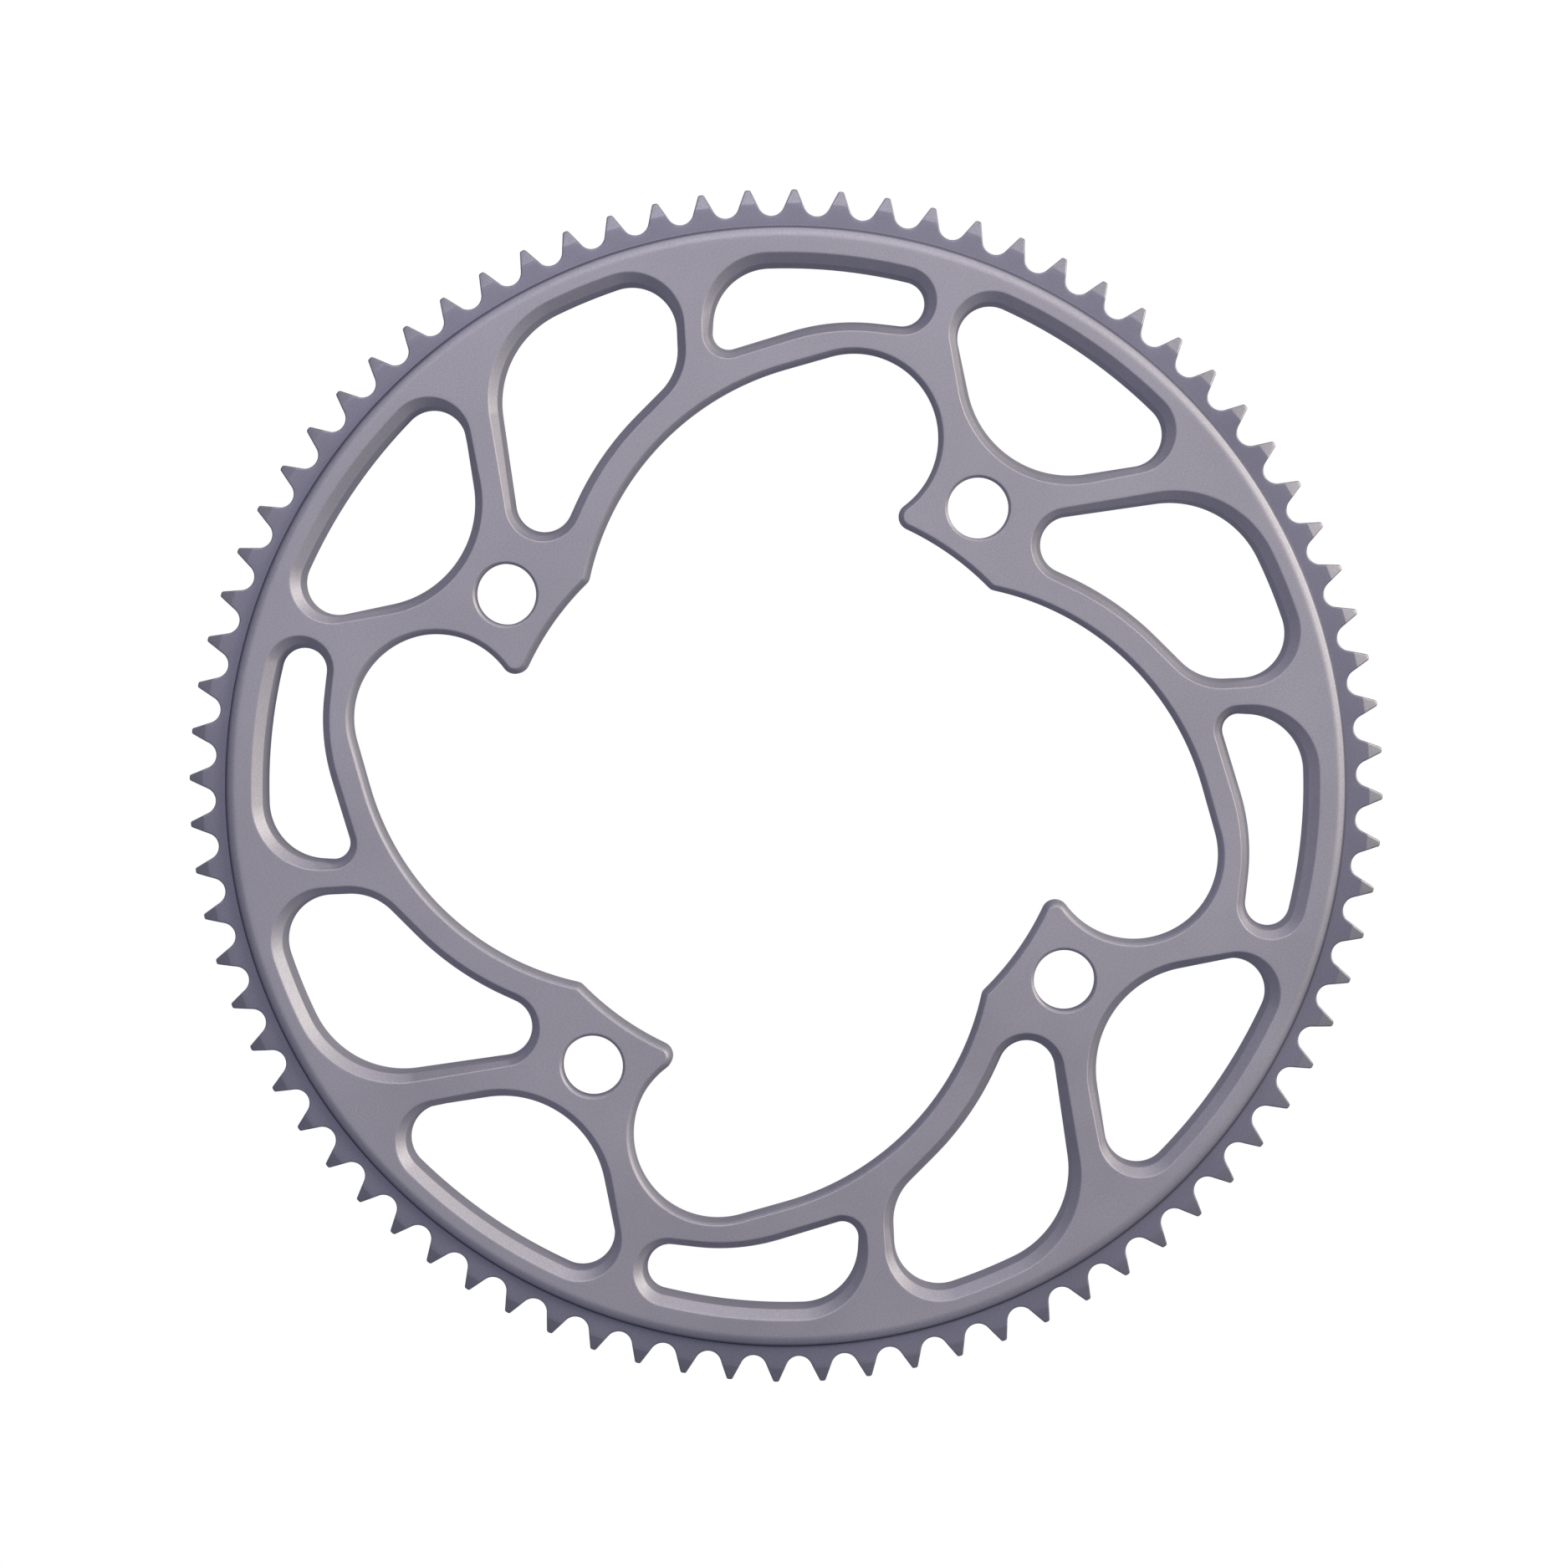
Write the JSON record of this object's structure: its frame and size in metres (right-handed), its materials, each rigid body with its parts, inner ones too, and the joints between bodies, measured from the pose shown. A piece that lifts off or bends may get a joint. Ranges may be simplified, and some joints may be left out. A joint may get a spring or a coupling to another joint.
{
  "type": "rear sprocket",
  "caption": "Flat chain sprocket with pointed teeth around a thin rim band, a thicker plate with swirling arms and slots, and bolted lugs around an open hub centre.",
  "frame": {"origin": "on the axle's line, in the plane of the back face, which lies against the wheel hub", "axes": "+Z along the axle, out of the front face; +X through the middle of one bolt hole, which is in line with a gap between two teeth"},
  "size_m": [0.2022, 0.2022, 0.007],
  "materials": {
    "anodised_aluminium": "fine matte grey hard anodising, slightly violet"
  },
  "bodies": {
    "root": {"sprocket": "anodised_aluminium"}
  },
  "joints": []
}
